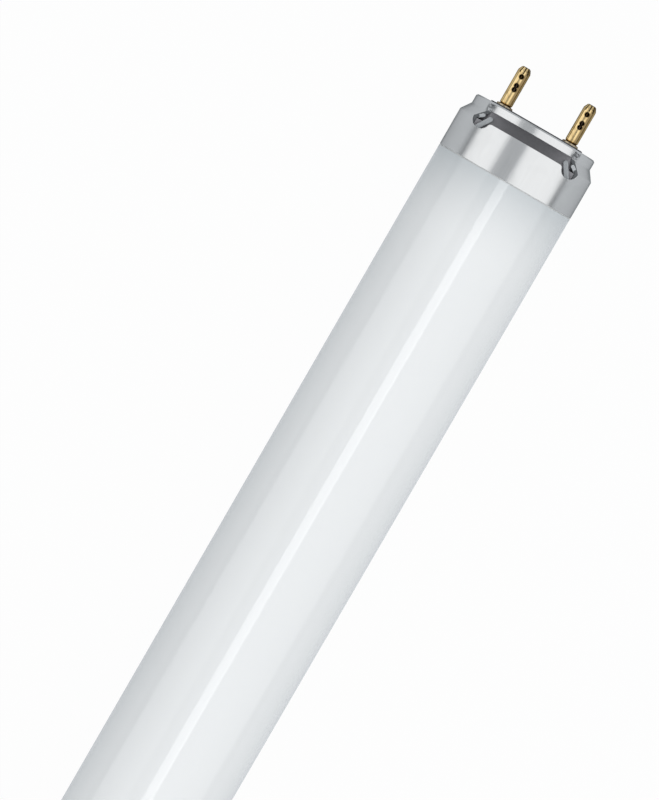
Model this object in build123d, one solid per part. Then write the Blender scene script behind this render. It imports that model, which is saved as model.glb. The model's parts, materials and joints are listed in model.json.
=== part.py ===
from build123d import *
import math
import os

# Glass LED tube lamp with a two-pin cap at each end, in millimetres.
# X runs along the tube, Y along the line of the pins and Z is up. The origin is the middle of the lamp.

# Glass tube
TUBE_DIAMETER = 25.4
FACE_TO_FACE = 588.8  # between the two faces that the pins stand on
GLASS_WALL = 0.9
NECK_SLOPE = 0.1  # length of the slope from the tube down to its drawn-in neck, inside the cap

# Cement between the glass and the cap
CEMENT_THICKNESS = 0.15
CEMENT_INSET = 0.2  # from the cap's rim

# Drawn aluminium cap
SHEET = 0.5
SKIRT_HEIGHT = 6.9
SHOULDER_HEIGHT = 1.75
SHOULDER_STEP = 1.24  # how far the raised ring stands in from the skirt
SHOULDER_FILLET = 0.3
RING_HEIGHT = 1.7
RING_BEVEL = 0.25
BRIDGE_WIDTH = 15.7  # across the pins' line, between the two slots under the ring
SLOT_HEIGHT = 1.95
POCKET_RADIUS = 1.5  # rounded ends of the slots, which dip into the skirt
POCKET_FILLET = 0.6
TONGUE_THICKNESS = 0.35
TONGUE_BITE = 0.1  # into the skirt's wall
# Two tongues bent in under each pocket hold the insulator. Each has its width, and then its root
# and its tip, both as a height over the skirt's edge and a distance outwards from the pocket's middle.
LONG_TONGUE = (0.85, (-1.85, 0.3), (1.05, -1.5))
SHORT_TONGUE = (0.6, (0.0, 1.1), (0.95, -0.25))
STAKE_WIDTH = 1.1  # small marks struck into the ring over each pocket
STAKE_HEIGHT = 0.2
STAKE_DEPTH = 0.15
STAKE_ANGLE = 45.0  # from the slots' middle
STAKE_DROPS = (0.4, 0.9)  # below the ring's top

# Moulded insulator
FIT_CLEARANCE = 0.05
BASE_THICKNESS = 1.8  # of the disc under the slots
PLATE_PROUD = 0.3  # of the plate that shows in the cap's face
PLATE_LENGTH = 17.6
PLATE_WIDTH = 9.6
BARREL_RADIUS = 2.1  # of the bosses behind the pins
BARREL_LENGTH = 1.6

# Contact pins
PIN_PITCH = 12.7
PIN_DIAMETER = 2.3
PIN_LENGTH = 7.6
PIN_WALL = 0.4
PIN_TAIL = 0.6  # behind the insulator's bosses
PIN_CLEARANCE = 0.02
FOOT_DIAMETER = 2.95
FOOT_HEIGHT = 0.66
FOOT_LIP = 0.3
GROOVE_DIAMETER = 2.0  # between the foot's flange and the pin's straight part
GROOVE_HEIGHT = 0.45
TIP_LENGTH = 0.8
TIP_DIAMETER = 1.5
TIP_HOLE_DIAMETER = 0.6
TIP_BEVEL = 0.15
FLUTE_COUNT = 10
FLUTE_WIDTH = 0.2
FLUTE_DEPTH = 0.35
CRIMP_RADIUS = 0.42
CRIMP_FLOOR = 0.28
CRIMP_DEPTH = 0.6  # right through the wall
CRIMP_HEIGHTS = (3.35, 4.1, 5.8)  # above the insulator

# Lead wires
WIRE_DIAMETER = 1.5
CORE_DIAMETER = 0.8
CORE_REACH = 5.0  # up the pin, above the insulator
LEAD_GAP = 0.25  # between a pin's tail and the lead's insulation
LEAD_PITCH = 8.0  # between the two leads where they are soldered
LEAD_INSET = 3.0  # from the board's end

# Light strip
STRIP_WIDTH = 12.0
STRIP_THICKNESS = 1.0
STRIP_CLEARANCE = 0.15
STRIP_END_GAP = 6.0  # from the cap's rim at the end without the driver
STRIP_CORNER = 1.0
GLUE_WIDTH = 9.0
GLUE_INSET = 4.0
LED_PITCH = 10.5
LED_LENGTH = 3.5
LED_WIDTH = 2.8
LED_HEIGHT = 0.7
LED_RIM = 0.45
LED_RECESS = 0.25
LED_MARGIN = 14.0  # strip left bare for the soldered wires at each end

# Driver
SLEEVE_WALL = 0.3
SLEEVE_CLEARANCE = 0.15
SLEEVE_OVERHANG = 1.5
SLEEVE_TO_STRIP = 2.0
BOARD_LENGTH = 64.0
BOARD_WIDTH = 15.0
BOARD_THICKNESS = 1.2
BOARD_CORNER = 0.8
BOARD_END_GAP = 5.0  # from the cap's rim
LEG_DIAMETER = 0.6
LINK_WIDTH = 1.2
LINK_THICKNESS = 0.3
LINK_PITCH = 10.0
LINK_LANDING = 2.0  # length that lies on each board

# Driver parts, in a row along the board with equal gaps
ROW_START_GAP = 2.0  # from the soldered lead wires
ROW_END_GAP = 1.0  # from the board's end next to the light strip
FUSE_DIAMETER = 3.2
FUSE_LENGTH = 8.5
FUSE_LIFT = 0.6
FUSE_LEG_OUT = 1.8
VARISTOR_DIAMETER = 7.0
VARISTOR_THICKNESS = 3.2
VARISTOR_LIFT = 0.6
BRIDGE_CHIP_LENGTH = 4.7
BRIDGE_CHIP_WIDTH = 3.9
BRIDGE_CHIP_LEGS = 2  # a side
FILM_LENGTH = 4.5
FILM_WIDTH = 10.0
FILM_HEIGHT = 8.5
FILM_BEVEL = 0.5
CHIP_LENGTH = 4.9
CHIP_WIDTH = 3.9
CHIP_LEGS = 4  # a side
CHIP_HEIGHT = 1.5
CHIP_LEG_WIDTH = 0.45
CHIP_LEG_THICKNESS = 0.2
CHIP_LEG_REACH = 1.0
CHOKE_DIAMETER = 8.5
CHOKE_HEIGHT = 8.0
CHOKE_WAIST = 4.2
CHOKE_FLANGE = 1.3
WINDING_INSET = 0.5
CAN_DIAMETER = 8.0
CAN_LENGTH = 9.0
CAN_LEG_OUT = 1.2

# Worked out from the sizes above
TUBE_R = TUBE_DIAMETER / 2
CAP_HEIGHT = SKIRT_HEIGHT + SHOULDER_HEIGHT + RING_HEIGHT
FACE = CAP_HEIGHT + PLATE_PROUD  # of the pins' face, from the cap's rim
RIM_X = FACE_TO_FACE / 2 - FACE
RING_R = TUBE_R - SHOULDER_STEP
NECK_R = TUBE_R - SHEET - CEMENT_THICKNESS
BRIDGE_HALF = BRIDGE_WIDTH / 2
SLOT_HALF = math.sqrt(TUBE_R**2 - BRIDGE_HALF**2)
POCKET_Y = SLOT_HALF - POCKET_RADIUS
SHOULDER_LEAN = math.atan2(SHOULDER_STEP, SHOULDER_HEIGHT)
SHEET_SHIFT = SHEET * math.tan(SHOULDER_LEAN / 2)  # between the bends inside and outside the shoulder
BASE_TOP = SKIRT_HEIGHT - SHEET_SHIFT
BASE_BACK = BASE_TOP - BASE_THICKNESS
TAIL_END = BASE_BACK - BARREL_LENGTH - PIN_TAIL
PIN_R = PIN_DIAMETER / 2
PIN_Y = PIN_PITCH / 2
BORE_R = TUBE_R - GLASS_WALL
STRIP_BOTTOM = -math.sqrt(BORE_R**2 - (STRIP_WIDTH / 2) ** 2) + STRIP_CLEARANCE
STRIP_TOP = STRIP_BOTTOM + STRIP_THICKNESS
SLEEVE_R = BORE_R - SLEEVE_CLEARANCE
BOARD_FRONT = RIM_X - BOARD_END_GAP
BOARD_BACK = BOARD_FRONT - BOARD_LENGTH
BOARD_BOTTOM = -math.sqrt((SLEEVE_R - SLEEVE_WALL) ** 2 - (BOARD_WIDTH / 2) ** 2) + FIT_CLEARANCE
BOARD_TOP = BOARD_BOTTOM + BOARD_THICKNESS
STRIP_START = -RIM_X + STRIP_END_GAP
STRIP_END = BOARD_BACK - SLEEVE_OVERHANG - SLEEVE_TO_STRIP


def near(shape, x, y):
    """The vertex of a flat outline that lies nearest to a point."""
    return shape.vertices().sort_by_distance((x, y, 0))[0]


def turned(*points):
    """A closed half-section of (x, radius) points, before it is turned about X."""
    return Polygon(*points, align=None)


def spin(half_section):
    return revolve(half_section, axis=Axis.X)


def across(x, y=0.0):
    """Plane square to the tube at a point of the pins' plane: its x is the lamp's Y, its y is Z."""
    return Plane(origin=(x, y, 0), x_dir=(0, 1, 0), z_dir=(1, 0, 0))


def both_sides(shape):
    """The shape and its mirror image across the plane of the pins."""
    return shape + mirror(shape, about=Plane.XY)


def at_right(piece):
    return Pos(RIM_X, 0, 0) * piece


def at_left(piece):
    return Rot(0, 0, 180) * at_right(piece)


def bent_wire(points, diameter):
    """Round wire through the points, bent sharply at each."""
    path = Polyline(*points)
    start = Plane(origin=points[0], z_dir=path % 0)
    return sweep(start * Circle(diameter / 2), path=path, transition=Transition.RIGHT)


def glass_tube():
    slope_end = RIM_X - FIT_CLEARANCE
    slope_start = slope_end - NECK_SLOPE
    lean = math.atan2(TUBE_R - NECK_R, NECK_SLOPE)
    shift = GLASS_WALL * math.tan(lean / 2)
    neck_end = RIM_X + BASE_BACK
    outer = [(0, TUBE_R), (slope_start, TUBE_R), (slope_end, NECK_R), (neck_end, NECK_R)]
    inner = [
        (neck_end, NECK_R - GLASS_WALL),
        (slope_end - shift, NECK_R - GLASS_WALL),
        (slope_start - shift, BORE_R),
        (0, BORE_R),
    ]
    half = spin(turned(*outer, *inner))
    return half + mirror(half, about=Plane.YZ)


def cement_ring():
    """Fills the gap between the skirt and the drawn-in neck of the glass, as far as the insulator."""
    gap = Circle(TUBE_R - SHEET) - Circle(NECK_R)
    return extrude(across(CEMENT_INSET) * gap, BASE_BACK - CEMENT_INSET)


def pocket_outline():
    """Outline of a slot and its two pockets, seen square to the pins: x along the tube, y across it."""
    slot = Pos(SKIRT_HEIGHT + SLOT_HEIGHT / 2, 0) * Rectangle(SLOT_HEIGHT, 2 * SLOT_HALF)
    outline = slot
    for side in (-1, 1):
        outline += Pos(SKIRT_HEIGHT, side * POCKET_Y) * Circle(POCKET_RADIUS)
    for side in (-1, 1):
        corner = near(outline, SKIRT_HEIGHT, side * (POCKET_Y - POCKET_RADIUS))
        outline = fillet(corner, POCKET_FILLET)
    return outline


def tongue(side, width, root_place, tip_place):
    """Strip that runs from the inside of the skirt, across its pocket, to over the bridge."""
    root = Vector(SKIRT_HEIGHT + root_place[0], side * (POCKET_Y + root_place[1]), 0)
    against_wall = TUBE_R - SHEET - TONGUE_THICKNESS / 2 + TONGUE_BITE
    root.Z = math.sqrt(against_wall**2 - root.Y**2)
    tip_z = BRIDGE_HALF + FIT_CLEARANCE + TONGUE_THICKNESS / 2
    tip = Vector(SKIRT_HEIGHT + tip_place[0], side * (POCKET_Y + tip_place[1]), tip_z)
    along = (tip - root).normalized()
    outward = (Vector(0, 0, 1) - along * along.Z).normalized()
    length = (tip - root).length
    flat = Plane(origin=root, x_dir=along, z_dir=outward)
    blade = flat * Pos(length / 2, 0) * SlotOverall(length, width)
    return extrude(blade, TONGUE_THICKNESS / 2, both=True)


def end_cap():
    ring_base = SKIRT_HEIGHT + SHOULDER_HEIGHT
    under = CAP_HEIGHT - SHEET
    section = turned(
        (0, TUBE_R),
        (SKIRT_HEIGHT, TUBE_R),
        (ring_base, RING_R),
        (CAP_HEIGHT, RING_R),
        (CAP_HEIGHT, 0),
        (under, 0),
        (under, RING_R - SHEET),
        (ring_base - SHEET_SHIFT, RING_R - SHEET),
        (BASE_TOP, TUBE_R - SHEET),
        (0, TUBE_R - SHEET),
    )
    section = chamfer(near(section, CAP_HEIGHT, RING_R), RING_BEVEL)
    section = fillet(near(section, SKIRT_HEIGHT, TUBE_R), SHOULDER_FILLET)
    shell = spin(section)

    window = SlotOverall(PLATE_LENGTH + 2 * FIT_CLEARANCE, PLATE_WIDTH + 2 * FIT_CLEARANCE)
    shell -= extrude(across(under) * window, SHEET)

    slot = extrude(Pos(0, 0, BRIDGE_HALF) * pocket_outline(), TUBE_R - BRIDGE_HALF)
    shell -= both_sides(slot)
    for quarter in (1, 3, 5, 7):
        for drop in STAKE_DROPS:
            place = Rot(quarter * STAKE_ANGLE, 0, 0) * Pos(CAP_HEIGHT - drop - STAKE_HEIGHT / 2, 0, RING_R)
            shell -= place * Box(STAKE_HEIGHT, STAKE_WIDTH, 2 * STAKE_DEPTH)
    for side in (-1, 1):
        for sizes in (LONG_TONGUE, SHORT_TONGUE):
            shell += both_sides(tongue(side, *sizes))
    return shell


def insulator():
    """Disc under the slots, bridge between them, and the plate that shows in the cap's face."""
    disc_r = TUBE_R - SHEET - FIT_CLEARANCE
    bridge_r = RING_R - SHEET - FIT_CLEARANCE
    under = CAP_HEIGHT - SHEET
    body = extrude(across(BASE_BACK) * Circle(disc_r), BASE_THICKNESS)
    notch_width = 2 * (POCKET_RADIUS + FIT_CLEARANCE)
    notch = Pos(BASE_BACK, 0, TUBE_R) * Box(2 * BASE_TOP, notch_width, 2 * (TUBE_R - BRIDGE_HALF))
    for side in (-1, 1):
        body -= both_sides(Pos(0, side * POCKET_Y, 0) * notch)
    bridge = Circle(bridge_r) & Rectangle(2 * bridge_r, BRIDGE_WIDTH)
    body += extrude(across(BASE_TOP) * bridge, under - BASE_TOP)
    body += extrude(across(under) * SlotOverall(PLATE_LENGTH, PLATE_WIDTH), FACE - under)
    for side in (-1, 1):
        body += extrude(across(BASE_BACK, side * PIN_Y) * Circle(BARREL_RADIUS), -BARREL_LENGTH)
        body -= extrude(across(0, side * PIN_Y) * Circle(PIN_R + PIN_CLEARANCE), FACE)
    return body


def contact_pin(side):
    """Hollow pin with a grooved foot, a fluted tip and three crimps struck through one side."""
    tip = FACE + PIN_LENGTH
    bore_r = PIN_R - PIN_WALL
    section = turned(
        (TAIL_END, PIN_R),
        (FACE, PIN_R),
        (FACE, FOOT_DIAMETER / 2),
        (FACE + FOOT_LIP, FOOT_DIAMETER / 2),
        (FACE + GROOVE_HEIGHT, GROOVE_DIAMETER / 2),
        (FACE + FOOT_HEIGHT, PIN_R),
        (tip - TIP_LENGTH, PIN_R),
        (tip, TIP_DIAMETER / 2),
        (tip, TIP_HOLE_DIAMETER / 2),
        (tip - TIP_LENGTH, TIP_HOLE_DIAMETER / 2),
        (tip - TIP_LENGTH, bore_r),
        (TAIL_END, bore_r),
    )
    section = chamfer(near(section, tip, TIP_DIAMETER / 2), TIP_BEVEL)
    pin = spin(section)
    taper = math.degrees(math.atan2(PIN_R - TIP_DIAMETER / 2, TIP_LENGTH))
    on_taper = Pos(tip - TIP_LENGTH / 2, 0, (PIN_R + TIP_DIAMETER / 2) / 2) * Rot(0, taper, 0)
    flute = on_taper * Box(2 * TIP_LENGTH, FLUTE_WIDTH, 2 * FLUTE_DEPTH)
    for step in range(FLUTE_COUNT):
        pin -= Rot(step * 360 / FLUTE_COUNT, 0, 0) * flute
    for height in CRIMP_HEIGHTS:
        middle = Pos(FACE + height, 0, PIN_R - CRIMP_DEPTH / 2)
        pin -= middle * Cone(CRIMP_FLOOR, CRIMP_RADIUS, CRIMP_DEPTH)
    return Pos(0, side * PIN_Y, 0) * pin


def lead_wire(side, end_gap, top):
    """From inside a pin back over the end of a board, and down to its solder pad."""
    start = TAIL_END - LEAD_GAP
    landing = -end_gap - LEAD_INSET
    pad_y = side * LEAD_PITCH / 2
    points = [(start, side * PIN_Y, 0), (landing, pad_y, 0), (landing, pad_y, top)]
    core_start = start - WIRE_DIAMETER
    core_length = FACE + CORE_REACH - core_start
    core = extrude(across(core_start, side * PIN_Y) * Circle(CORE_DIAMETER / 2), core_length)
    return bent_wire(points, WIRE_DIAMETER) + core


def light_strip():
    plate = Rectangle(STRIP_END - STRIP_START, STRIP_WIDTH)
    plate = fillet(plate.vertices(), STRIP_CORNER)
    return extrude(Pos((STRIP_START + STRIP_END) / 2, 0, STRIP_BOTTOM) * plate, STRIP_THICKNESS)


def strip_glue():
    """Bead of silicone that fills the space between the strip and the round glass."""
    length = STRIP_END - STRIP_START - 2 * GLUE_INSET
    depth = BORE_R + STRIP_BOTTOM
    below = Pos(0, STRIP_BOTTOM - depth) * Rectangle(GLUE_WIDTH, 2 * depth)
    segment = Circle(BORE_R) & below
    return extrude(across(STRIP_START + GLUE_INSET) * segment, length)


def led():
    body = Box(LED_LENGTH, LED_WIDTH, LED_HEIGHT)
    recess = Box(LED_LENGTH - 2 * LED_RIM, LED_WIDTH - 2 * LED_RIM, 2 * LED_RECESS)
    return body - Pos(0, 0, LED_HEIGHT / 2) * recess


def leds():
    """A row of small packages along the strip, as many as its length takes."""
    first, last = STRIP_START + LED_MARGIN, STRIP_END - LED_MARGIN
    count = int((last - first) // LED_PITCH) + 1
    start = (first + last - (count - 1) * LED_PITCH) / 2
    package = led()
    return [
        Pos(start + index * LED_PITCH, 0, STRIP_TOP + LED_HEIGHT / 2) * package for index in range(count)
    ]


def driver_sleeve():
    start = BOARD_BACK - SLEEVE_OVERHANG
    wall = Circle(SLEEVE_R) - Circle(SLEEVE_R - SLEEVE_WALL)
    return extrude(across(start) * wall, BOARD_LENGTH + 2 * SLEEVE_OVERHANG)


def driver_board():
    plate = Rectangle(BOARD_LENGTH, BOARD_WIDTH)
    plate = fillet(plate.vertices(), BOARD_CORNER)
    return extrude(Pos((BOARD_FRONT + BOARD_BACK) / 2, 0, BOARD_BOTTOM) * plate, BOARD_THICKNESS)


def board_places():
    """Middle of each part in the row on the driver board, as a distance from its end next to the pins."""
    lengths = {
        "fusible_resistor": FUSE_LENGTH + 2 * FUSE_LEG_OUT + LEG_DIAMETER,
        "bridge_rectifier": BRIDGE_CHIP_LENGTH,
        "film_capacitor": FILM_LENGTH,
        "control_chip": CHIP_LENGTH,
        "choke": CHOKE_DIAMETER,
        "filter_capacitor": CAN_LENGTH + CAN_LEG_OUT + LEG_DIAMETER / 2,
    }
    start = LEAD_INSET + ROW_START_GAP
    gap = (BOARD_LENGTH - ROW_END_GAP - start - sum(lengths.values())) / (len(lengths) - 1)
    places = {}
    for name, length in lengths.items():
        places[name] = start + length / 2
        start += length + gap
    return places


BOARD_PLACES = board_places()


def on_board(name, y=0.0):
    """The place of a named part in the row, on the driver board's top."""
    return Pos(BOARD_FRONT - BOARD_PLACES[name], y, BOARD_TOP)


def link_strip(side):
    """Flat link bent to bridge the step from the driver board down to the light strip."""
    profile = Polygon(
        (BOARD_BACK + LINK_LANDING, BOARD_TOP),
        (BOARD_BACK + LINK_LANDING, BOARD_TOP + LINK_THICKNESS),
        (BOARD_BACK - LINK_THICKNESS, BOARD_TOP + LINK_THICKNESS),
        (STRIP_END + LINK_THICKNESS, STRIP_TOP + LINK_THICKNESS),
        (STRIP_END - LINK_LANDING, STRIP_TOP + LINK_THICKNESS),
        (STRIP_END - LINK_LANDING, STRIP_TOP),
        (STRIP_END + LINK_THICKNESS, STRIP_TOP),
        (BOARD_BACK - LINK_THICKNESS, BOARD_TOP),
        align=None,
    )
    return Pos(0, side * LINK_PITCH / 2, 0) * extrude(Plane.XZ * profile, LINK_WIDTH / 2, both=True)


def fusible_resistor(y):
    """Small barrel that lies over the board on its two bent legs."""
    height = FUSE_DIAMETER / 2 + FUSE_LIFT
    body = Pos(0, 0, height) * Rot(0, 90, 0) * Cylinder(FUSE_DIAMETER / 2, FUSE_LENGTH)
    for end in (-1, 1):
        out = end * (FUSE_LENGTH / 2 + FUSE_LEG_OUT)
        body += bent_wire([(0, 0, height), (out, 0, height), (out, 0, 0)], LEG_DIAMETER)
    return on_board("fusible_resistor", y) * body


def varistor(y):
    """Coated disc that stands across the board, beside the fusible resistor."""
    radius = VARISTOR_DIAMETER / 2
    height = radius + VARISTOR_LIFT
    body = Pos(0, 0, height) * Rot(0, 90, 0) * Cylinder(radius, VARISTOR_THICKNESS)
    for side in (-1, 1):
        body += Pos(0, side * radius / 2, height / 2) * Cylinder(LEG_DIAMETER / 2, height)
    return on_board("fusible_resistor", y) * body


def small_chip(length, width, legs):
    """Moulded package with bent legs along its two long sides, standing on the board."""
    body = Pos(0, 0, CHIP_HEIGHT / 2 + CHIP_LEG_THICKNESS) * Box(length, width, CHIP_HEIGHT)
    body = chamfer(body.edges().group_by(Axis.Z)[-1], CHIP_LEG_THICKNESS)
    mid = CHIP_LEG_THICKNESS + CHIP_HEIGHT / 2
    out = width / 2 + CHIP_LEG_REACH
    knee = width / 2 + CHIP_LEG_REACH / 2
    leg = Polygon(
        (0, mid),
        (knee, mid),
        (knee, CHIP_LEG_THICKNESS),
        (out, CHIP_LEG_THICKNESS),
        (out, 0),
        (knee - CHIP_LEG_THICKNESS, 0),
        (knee - CHIP_LEG_THICKNESS, mid - CHIP_LEG_THICKNESS),
        (0, mid - CHIP_LEG_THICKNESS),
        align=None,
    )
    step = length / legs
    for index in range(legs):
        x = (index + 0.5) * step - length / 2
        for turn in (0, 180):
            blade = extrude(across(x) * leg, CHIP_LEG_WIDTH / 2, both=True)
            body += Rot(0, 0, turn) * blade
    return body


def bridge_rectifier():
    chip = small_chip(BRIDGE_CHIP_LENGTH, BRIDGE_CHIP_WIDTH, BRIDGE_CHIP_LEGS)
    return on_board("bridge_rectifier") * chip


def control_chip():
    return on_board("control_chip") * small_chip(CHIP_LENGTH, CHIP_WIDTH, CHIP_LEGS)


def film_capacitor():
    body = Pos(0, 0, FILM_HEIGHT / 2) * Box(FILM_LENGTH, FILM_WIDTH, FILM_HEIGHT)
    return on_board("film_capacitor") * chamfer(body.edges().group_by(Axis.Z)[-1], FILM_BEVEL)


def choke_core():
    flange_r, waist_r = CHOKE_DIAMETER / 2, CHOKE_WAIST / 2
    top = CHOKE_HEIGHT - CHOKE_FLANGE
    spool = Polygon(
        (0, 0),
        (flange_r, 0),
        (flange_r, CHOKE_FLANGE),
        (waist_r, CHOKE_FLANGE),
        (waist_r, top),
        (flange_r, top),
        (flange_r, CHOKE_HEIGHT),
        (0, CHOKE_HEIGHT),
        align=None,
    )
    return on_board("choke") * revolve(Plane.XZ * spool, axis=Axis.Z)


def choke_winding():
    ring = Circle(CHOKE_DIAMETER / 2 - WINDING_INSET) - Circle(CHOKE_WAIST / 2)
    height = CHOKE_HEIGHT - 2 * CHOKE_FLANGE
    return on_board("choke") * extrude(Pos(0, 0, CHOKE_FLANGE) * ring, height)


def filter_capacitor():
    """Small aluminium can that lies on the board, with its legs bent down past its rubber end."""
    radius = CAN_DIAMETER / 2
    legs_out = CAN_LEG_OUT + LEG_DIAMETER / 2
    can = Pos(legs_out / 2, 0, radius) * Rot(0, 90, 0) * Cylinder(radius, CAN_LENGTH)
    rubber_end = (legs_out - CAN_LENGTH) / 2
    out = rubber_end - CAN_LEG_OUT
    for side in (-1, 1):
        y = side * radius / 2
        can += bent_wire([(0, y, radius), (out, y, radius), (out, y, 0)], LEG_DIAMETER)
    return on_board("filter_capacitor") * can


def main():
    os.makedirs("parts", exist_ok=True)
    fuse_y = -(BOARD_WIDTH / 2 - FUSE_DIAMETER)
    varistor_y = BOARD_WIDTH / 2 - VARISTOR_DIAMETER / 2
    pieces = {
        "glass_tube": glass_tube(),
        "light_strip": light_strip(),
        "strip_glue": strip_glue(),
        "leds": Compound(children=leds()),
        "driver_sleeve": driver_sleeve(),
        "driver_board": driver_board(),
        "fusible_resistor": fusible_resistor(fuse_y),
        "varistor": varistor(varistor_y),
        "bridge_rectifier": bridge_rectifier(),
        "film_capacitor": film_capacitor(),
        "control_chip": control_chip(),
        "choke_core": choke_core(),
        "choke_winding": choke_winding(),
        "filter_capacitor": filter_capacitor(),
        "link_strip_front": link_strip(-1),
        "link_strip_back": link_strip(1),
    }
    ends = {
        "right": (at_right, -1, BOARD_END_GAP, BOARD_TOP),
        "left": (at_left, 1, STRIP_END_GAP, STRIP_TOP),
    }
    for name, (place, front, end_gap, top) in ends.items():
        pieces[f"end_cap_{name}"] = place(end_cap())
        pieces[f"insulator_{name}"] = place(insulator())
        pieces[f"cement_{name}"] = place(cement_ring())
        for row, side in (("front", front), ("back", -front)):
            pieces[f"contact_pin_{name}_{row}"] = place(contact_pin(side))
            pieces[f"lead_wire_{name}_{row}"] = place(lead_wire(side, end_gap, top))
    for name, piece in pieces.items():
        export_step(piece, f"parts/{name}.step")


main()
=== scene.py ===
import json
import math

import bpy
from mathutils import Matrix, Vector


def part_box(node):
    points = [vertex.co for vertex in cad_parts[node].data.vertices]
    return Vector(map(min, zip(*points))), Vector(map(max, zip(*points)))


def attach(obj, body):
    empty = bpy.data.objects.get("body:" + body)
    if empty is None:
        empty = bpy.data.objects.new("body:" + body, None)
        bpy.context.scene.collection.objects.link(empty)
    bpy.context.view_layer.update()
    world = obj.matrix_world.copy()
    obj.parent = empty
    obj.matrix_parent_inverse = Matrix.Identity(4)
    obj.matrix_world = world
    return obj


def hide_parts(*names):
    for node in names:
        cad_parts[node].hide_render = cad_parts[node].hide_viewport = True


# Glass LED tube with a two-pin aluminium cap at each end, dressed over its CAD solids, in metres.
# X runs along the tube, Y along the line of the pins and Z is up. The lamp lies on the floor.

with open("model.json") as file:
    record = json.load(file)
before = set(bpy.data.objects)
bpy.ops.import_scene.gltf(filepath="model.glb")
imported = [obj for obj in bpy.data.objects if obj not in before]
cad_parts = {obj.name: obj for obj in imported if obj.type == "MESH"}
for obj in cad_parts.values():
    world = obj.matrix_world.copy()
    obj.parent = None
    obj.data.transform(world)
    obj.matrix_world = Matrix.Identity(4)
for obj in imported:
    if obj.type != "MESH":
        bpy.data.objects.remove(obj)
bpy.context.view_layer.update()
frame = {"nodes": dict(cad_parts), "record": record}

MM = 0.001

# Photograph: its frame, and the right cap's rim in it
PHOTO_HEIGHT = 800
PHOTO_MIDDLE = (329.5, 400.0)
RIM_PIXEL = (505.0, 181.0)
FOCAL_PIXELS = 3240.0
AXIS_LEAN = math.radians(30.08)  # of the tube's axis from upright, at the rim
RIM_DISTANCE = 0.548
SENSOR = 36.0

# Places read from the frame
RIM_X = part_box("end_cap_right")[0].x
TUBE_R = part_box("glass_tube")[1].z

# The cap's own sizes, as the CAD has them: heights are over its rim
SKIRT_HEIGHT = 6.9 * MM
RING_BASE = 8.65 * MM
RING_R = 11.46 * MM
POCKET_BOTTOM = 5.0 * MM
BRIDGE_HALF = 7.85 * MM
STRUCK_BAND = (8.5 * MM, 10.0 * MM)  # from the pockets' corners to the struck marks
STRUCK_HALF = (0.9 * MM, 1.6 * MM)  # half its width on each side of the marks: full painted shade, and its fade
UNSHADED_RIM = (0.5 * MM, 1.0 * MM)  # no painted crease shade up to the first height, and all of it from the second
PLATE_SIDE = (10.37 * MM, 10.61 * MM)  # of the insulator's plate, in the ring's opening, where its side carries painted shade
PIN_FACE = 10.65 * MM  # the face that the pins stand on
PIN_Y = 6.35 * MM
PIN_R = 1.15 * MM
PIN_TAPER = 6.8 * MM  # from that face to the taper at the tip
PIN_LENGTH = 7.6 * MM
PIN_TIP_R = 0.75 * MM
FOOT_FLANGE = (0.28 * MM, 0.34 * MM)  # grey-brown up to the first height, and gold from the second
SHADED_SIDE = (-0.76, -0.38, 0.16)  # from, to and fade of the band of painted shade, in pin radii off the pin's axis
CRIMPS = (3.35 * MM, 4.1 * MM, 5.8 * MM)  # from that face
CRIMP_SHADE = (0.42 * MM, 0.56 * MM)  # a crimp's radius, and that of the painted shade about it
INSULATION_END = 2.49 * MM  # of each lead wire, inside the cap

# Glass, and the cement in the groove between it and each cap's rim
GREYER_NEAR_CAP = 14 * MM  # length next to a cap over which the glass turns greyer
BEAD_R = 0.09 * MM
BEAD_RING_R = TUBE_R - 0.13 * MM
BEAD_X = RIM_X - 0.06 * MM

# Small parts on the boards, which the opal glass hides
LED_LENGTH = 3.5 * MM
LED_PITCH = 10.5 * MM
LED_RECESS = 0.25 * MM
WINDOW_SIZE = (2.58 * MM, 1.88 * MM, 0.24 * MM)
WINDOW_LEVEL = 0.45  # of a window's middle over its recess's floor, in window heights
LEG_R = 0.3 * MM
VARISTOR_LEGS = 3.5 * MM  # between the two
CAN_LEGS = 4.0 * MM
WIRE_R = 0.75 * MM
TURN_DIAMETER = 0.4 * MM
LEG_SOLDER = {"Leg radius": 0.9 * LEG_R, "Pad radius": 2.4 * LEG_R, "Climb": 0.5 * MM}
WIRE_SOLDER = {"Leg radius": 0.95 * WIRE_R, "Pad radius": 1.7 * WIRE_R, "Climb": 0.7 * MM}
SOLDER_HOLLOW = 2.5  # how sharply a solder cone sweeps out to its pad

# Studio: angles are measured from straight above, and positive to the photograph's right
FLOOR_SIZE = 6.0
FLOOR_COLOR = (0.43, 0.455, 0.47, 1.0)
ROOM_COLOR = (0.88, 0.95, 1.0, 1.0)
WORLD_LIGHT = 0.26
FLOOR_WHITE = 0.975  # how far the floor is lifted to white for what looks straight at it
FLOOR_IN_GLOSS = 0.53  # share of white that metal and glass show
ROOM_IN_GLOSS = 0.45
WHITE_IN_GLOSS = (0.95, 0.985, 1.03, 1.0)  # that white, a little blue
CAP_SHADE = (16 * MM, 21 * MM)  # half-width of the floor under each cap that is dark in gloss, and its fade
CAP_SHADE_EDGE = 1 * MM  # length over which that shade starts at the cap's rim
HORIZON_BAND = (0.15, 0.2)  # the room is dim in gloss up to the first height, and plain from the second
HORIZON_DIM = 0.25
LAMP_DISTANCE = 0.75
LAMP_LENGTH = 2.4
LAMP_WATTS = 2.13  # a square metre, for a brightness of 1
CLIP = (0.01, 20.0)
LAMPS = {
    # name: (from angle, to angle, brightness, shown in gloss, the only node that it falls on)
    "softbox_left": (-78, -28, 1.06, True, None),
    "softbox_right": (3.8, 79, 1.05, True, None),
    "overhead_fill": (-24, 14, 0.65, False, None),
    "right_fill": (4, 77, 0.28, False, None),
    "glass_highlight": (-7, 7.5, 4.0, True, "glass_tube"),
}


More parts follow.
